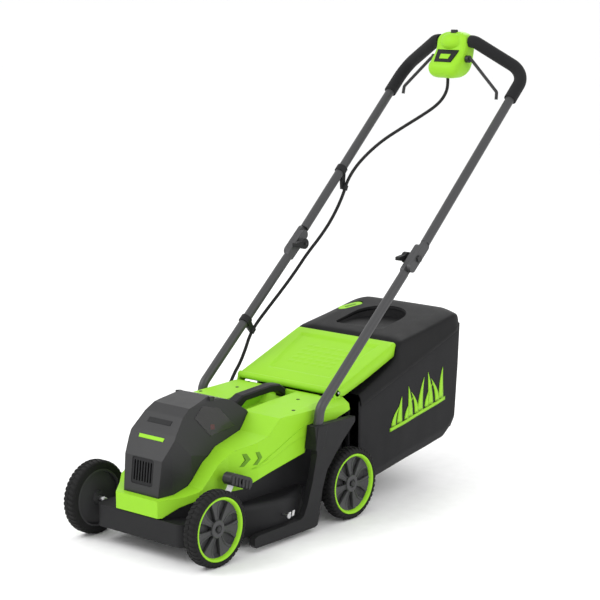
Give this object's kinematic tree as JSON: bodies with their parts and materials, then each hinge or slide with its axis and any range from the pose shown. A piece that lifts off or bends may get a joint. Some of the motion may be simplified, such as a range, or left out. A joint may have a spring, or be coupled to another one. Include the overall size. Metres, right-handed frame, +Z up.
{
  "type": "push lawn mower",
  "caption": "Cordless push lawn mower with a lime and black deck, folding tube handle with bail lever, cranked height-adjust axles, lifting rear hood and slide-off grass bag.",
  "frame": {"origin": "on the ground, on the centre plane, midway along the overall length", "axes": "+X to the mower's left side, -Y to its front, +Z up"},
  "size_m": [0.397, 1.2116, 1.07],
  "materials": {
    "lime": "glossy lime-green moulded plastic",
    "black": "matt black moulded plastic",
    "charcoal": "satin charcoal moulded plastic",
    "rubber_black": "matt rubber",
    "tyre_rubber": "matt treaded tyre",
    "foam": "soft foam sleeve",
    "tube_paint": "satin grey powder coat",
    "steel": "zinc plated",
    "blade_steel": "ground steel",
    "fabric_black": "woven polyester",
    "smoke_plastic": "smoked polycarbonate",
    "red": "glossy red plastic",
    "copper_iron": "laminated iron and copper"
  },
  "bodies": {
    "chassis": {"deck": "black", "top_cover": "lime", "head_cover": "charcoal", "front_grille": "black", "battery_tray": "black", "battery_pack": "charcoal", "controller": "black", "motor_stator": "copper_iron", "motor_bearings": "steel", "carry_handle": "black", "side_bracket_left": "black", "side_bracket_right": "black", "lower_tube_left": "tube_paint", "lower_tube_right": "tube_paint", "fasteners": "steel", "hood_spring": "steel", "cable_lower": "rubber_black", "lower_cable_clip": "black"},
    "blade_assembly": {"motor_rotor": "copper_iron", "blade_adapter": "black", "blade": "blade_steel", "blade_bolt": "steel"},
    "front_axle": {"front_axle": "steel", "height_lever": "steel", "lever_grip": "charcoal", "front_axle_nuts": "charcoal"},
    "rear_axle": {"rear_axle": "steel", "rear_axle_nuts": "charcoal"},
    "link_rod": {"link_rod": "steel"},
    "upper_handle": {"upper_handle": "tube_paint", "grip_left": "foam", "grip_right": "foam", "switch_box_front": "lime", "switch_box_back": "lime", "upper_cable_clip": "black", "cable_upper": "rubber_black", "handle_bolts": "charcoal"},
    "knob_left": {"knob_left": "black"},
    "knob_right": {"knob_right": "black"},
    "bail_lever": {"bail_lever": "charcoal"},
    "lock_button": {"lock_button": "charcoal"},
    "rear_hood": {"rear_hood": "lime"},
    "battery_door": {"battery_door": "smoke_plastic"},
    "safety_key": {"safety_key": "red"},
    "grass_bag": {"bag_body": "fabric_black", "bag_cover": "charcoal", "bag_frame": "black"},
    "bag_indicator": {"bag_indicator": "lime"},
    "front_left_wheel": {"front_left_tyre": "tyre_rubber", "front_left_rim": "charcoal", "front_left_trim_ring": "lime"},
    "front_right_wheel": {"front_right_tyre": "tyre_rubber", "front_right_rim": "charcoal", "front_right_trim_ring": "lime"},
    "rear_left_wheel": {"rear_left_tyre": "tyre_rubber", "rear_left_rim": "charcoal", "rear_left_trim_ring": "lime"},
    "rear_right_wheel": {"rear_right_tyre": "tyre_rubber", "rear_right_rim": "charcoal", "rear_right_trim_ring": "lime"}
  },
  "joints": [
    {"name": "height_adjust", "type": "hinge", "parent": "chassis", "child": "front_axle", "pos_m": [0, -0.49448, 0.0625], "axis": [1, 0, 0], "range_deg": [0, 69.7]},
    {"name": "rear_axle_turn", "type": "hinge", "parent": "chassis", "child": "rear_axle", "pos_m": [0, -0.04948, 0.0625], "axis": [1, 0, 0], "range_deg": [0, 69.7]},
    {"name": "link_turn", "type": "hinge", "parent": "front_axle", "child": "link_rod", "pos_m": [-0.142, -0.46591, 0.10353], "axis": [1, 0, 0], "range_deg": [-69.7, 0]},
    {"name": "front_left_wheel_spin", "type": "hinge", "parent": "front_axle", "child": "front_left_wheel", "pos_m": [0.18, -0.5232, 0.0825], "axis": [1, 0, 0], "continuous": true},
    {"name": "front_right_wheel_spin", "type": "hinge", "parent": "front_axle", "child": "front_right_wheel", "pos_m": [-0.18, -0.5232, 0.0825], "axis": [1, 0, 0], "continuous": true},
    {"name": "rear_left_wheel_spin", "type": "hinge", "parent": "rear_axle", "child": "rear_left_wheel", "pos_m": [0.18, -0.0782, 0.0825], "axis": [1, 0, 0], "continuous": true},
    {"name": "rear_right_wheel_spin", "type": "hinge", "parent": "rear_axle", "child": "rear_right_wheel", "pos_m": [-0.18, -0.0782, 0.0825], "axis": [1, 0, 0], "continuous": true},
    {"name": "blade_spin", "type": "hinge", "parent": "chassis", "child": "blade_assembly", "pos_m": [0, -0.3012, 0.06], "axis": [0, 0, 1], "continuous": true},
    {"name": "handle_fold", "type": "hinge", "parent": "chassis", "child": "upper_handle", "pos_m": [0, 0.1608, 0.566], "axis": [1, 0, 0], "range_deg": [0, 145]},
    {"name": "knob_left_turn", "type": "hinge", "parent": "upper_handle", "child": "knob_left", "pos_m": [0.156, 0.1608, 0.566], "axis": [1, 0, 0], "continuous": true},
    {"name": "knob_right_turn", "type": "hinge", "parent": "upper_handle", "child": "knob_right", "pos_m": [-0.156, 0.1608, 0.566], "axis": [1, 0, 0], "continuous": true},
    {"name": "bail_pull", "type": "hinge", "parent": "upper_handle", "child": "bail_lever", "pos_m": [0, 0.5428, 1], "axis": [1, 0, 0], "range_deg": [0, 40], "stiffness_Nm_per_rad": 0.4, "springref_deg": -22.92},
    {"name": "lock_press", "type": "slide", "parent": "upper_handle", "child": "lock_button", "axis": [0, 0, -1], "range_m": [0, 0.0035], "stiffness_N_per_m": 300, "springref_m": -0.003},
    {"name": "hood_lift", "type": "hinge", "parent": "chassis", "child": "rear_hood", "pos_m": [0, -0.0792, 0.286], "axis": [1, 0, 0], "range_deg": [0, 65], "stiffness_Nm_per_rad": 0.4, "springref_deg": -34.38},
    {"name": "battery_door_lift", "type": "hinge", "parent": "chassis", "child": "battery_door", "pos_m": [0, -0.3857, 0.316], "axis": [1, 0, 0], "range_deg": [0, 75]},
    {"name": "safety_key_pull", "type": "slide", "parent": "chassis", "child": "safety_key", "axis": [0, 0, 1], "range_m": [0, 0.01]},
    {"name": "bag_slide_off", "type": "slide", "parent": "chassis", "child": "grass_bag", "axis": [0, 1, 0], "range_m": [0, 0.3]},
    {"name": "bag_indicator_flap", "type": "hinge", "parent": "grass_bag", "child": "bag_indicator", "pos_m": [-0.112, 0.26597, 0.39355], "axis": [1, 0, 0], "range_deg": [0, 35]}
  ],
  "couplings": [
    {"joint": "rear_axle_turn", "follows": "height_adjust", "ratio": 1},
    {"joint": "link_turn", "follows": "height_adjust", "ratio": -1}
  ]
}
